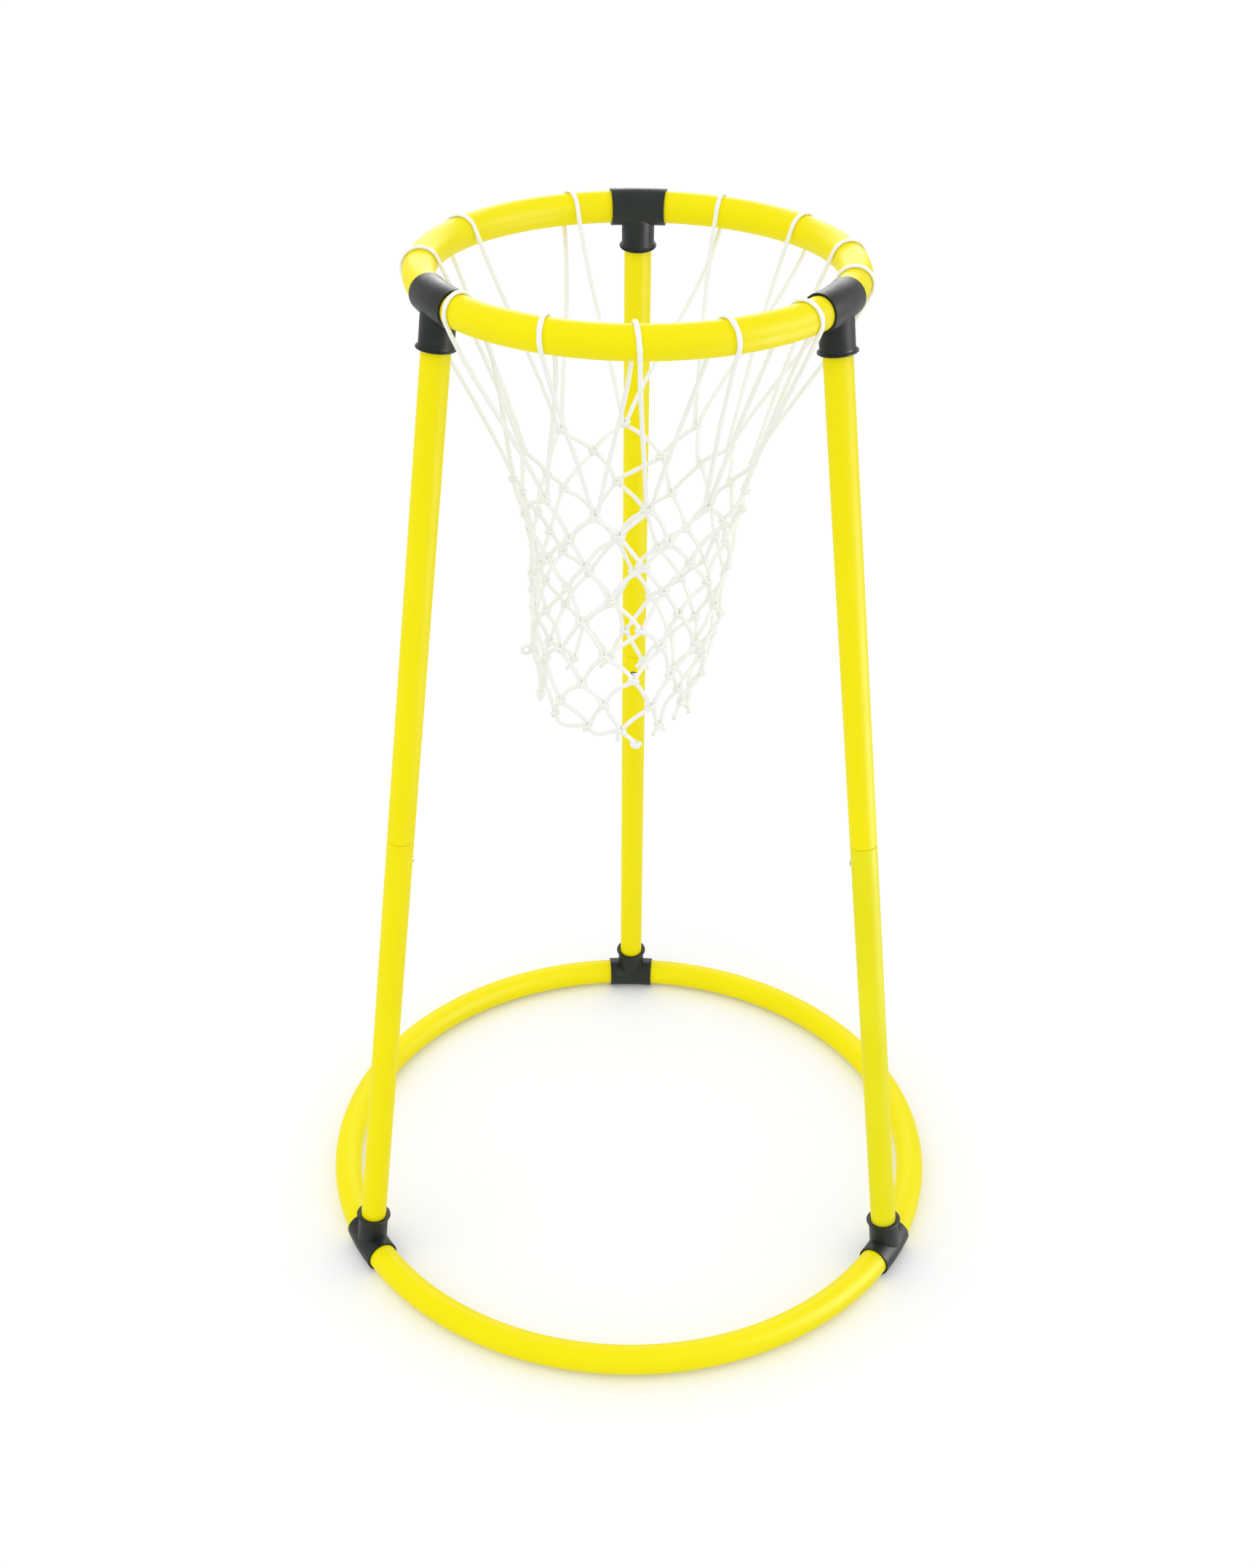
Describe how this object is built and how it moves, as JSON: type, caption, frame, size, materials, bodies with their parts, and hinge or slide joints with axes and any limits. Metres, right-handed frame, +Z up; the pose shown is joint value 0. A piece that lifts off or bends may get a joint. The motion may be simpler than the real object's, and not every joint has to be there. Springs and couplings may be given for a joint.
{
  "type": "hoop goal stand",
  "caption": "Free-standing hoop goal: a tube hoop with a hanging knotted net, on leaning tube legs over a round tube base, joined by moulded tees.",
  "frame": {"origin": "on the floor, under the middle of the base ring", "axes": "+Z up, +Y towards the back leg, +X to the right as seen from the front"},
  "size_m": [0.638, 0.6402, 1.0056],
  "materials": {
    "tube_yellow": "smooth glossy",
    "tee_black": "satin moulded",
    "spring_steel": "plated",
    "net_cord": "braided cord"
  },
  "bodies": {
    "root": {"hoop_arc_left": "tube_yellow", "hoop_arc_front": "tube_yellow", "hoop_arc_right": "tube_yellow", "base_arc_left": "tube_yellow", "base_arc_front": "tube_yellow", "base_arc_right": "tube_yellow", "hoop_tee_back": "tee_black", "base_tee_back": "tee_black", "hoop_tee_left": "tee_black", "base_tee_left": "tee_black", "hoop_tee_right": "tee_black", "base_tee_right": "tee_black", "net_strand_1": "net_cord", "net_strand_2": "net_cord", "net_strand_3": "net_cord", "net_strand_4": "net_cord", "net_strand_5": "net_cord", "net_strand_6": "net_cord", "net_strand_7": "net_cord", "net_strand_8": "net_cord", "net_strand_9": "net_cord", "net_strand_10": "net_cord", "net_strand_11": "net_cord", "net_strand_12": "net_cord"},
    "leg_back": {"upper_leg_back": "tube_yellow", "lower_leg_back": "tube_yellow", "coupling_sleeve_back": "spring_steel", "spring_clip_back": "spring_steel"},
    "button_back": {"snap_button_back": "spring_steel"},
    "leg_left": {"upper_leg_left": "tube_yellow", "lower_leg_left": "tube_yellow", "coupling_sleeve_left": "spring_steel", "spring_clip_left": "spring_steel"},
    "button_left": {"snap_button_left": "spring_steel"},
    "leg_right": {"upper_leg_right": "tube_yellow", "lower_leg_right": "tube_yellow", "coupling_sleeve_right": "spring_steel", "spring_clip_right": "spring_steel"},
    "button_right": {"snap_button_right": "spring_steel"}
  },
  "joints": [
    {"name": "leg_back_turn", "type": "hinge", "parent": "root", "child": "leg_back", "pos_m": [0, 0.305, 0.01625], "axis": [0, -0.1267, 0.9919], "continuous": true},
    {"name": "button_back_press", "type": "hinge", "parent": "leg_back", "child": "button_back", "pos_m": [0, 0.2353, 0.52653], "axis": [1, 0, 0], "range_deg": [0, 4.3], "stiffness_Nm_per_rad": 2},
    {"name": "leg_left_turn", "type": "hinge", "parent": "root", "child": "leg_left", "pos_m": [-0.26414, -0.1525, 0.01625], "axis": [0.1097, 0.0633, 0.9919], "continuous": true},
    {"name": "button_left_press", "type": "hinge", "parent": "leg_left", "child": "button_left", "pos_m": [-0.20378, -0.11765, 0.52653], "axis": [-0.5, 0.866, 0], "range_deg": [0, 4.3], "stiffness_Nm_per_rad": 2},
    {"name": "leg_right_turn", "type": "hinge", "parent": "root", "child": "leg_right", "pos_m": [0.26414, -0.1525, 0.01625], "axis": [-0.1097, 0.0633, 0.9919], "continuous": true},
    {"name": "button_right_press", "type": "hinge", "parent": "leg_right", "child": "button_right", "pos_m": [0.20378, -0.11765, 0.52653], "axis": [-0.5, -0.866, 0], "range_deg": [0, 4.3], "stiffness_Nm_per_rad": 2}
  ]
}
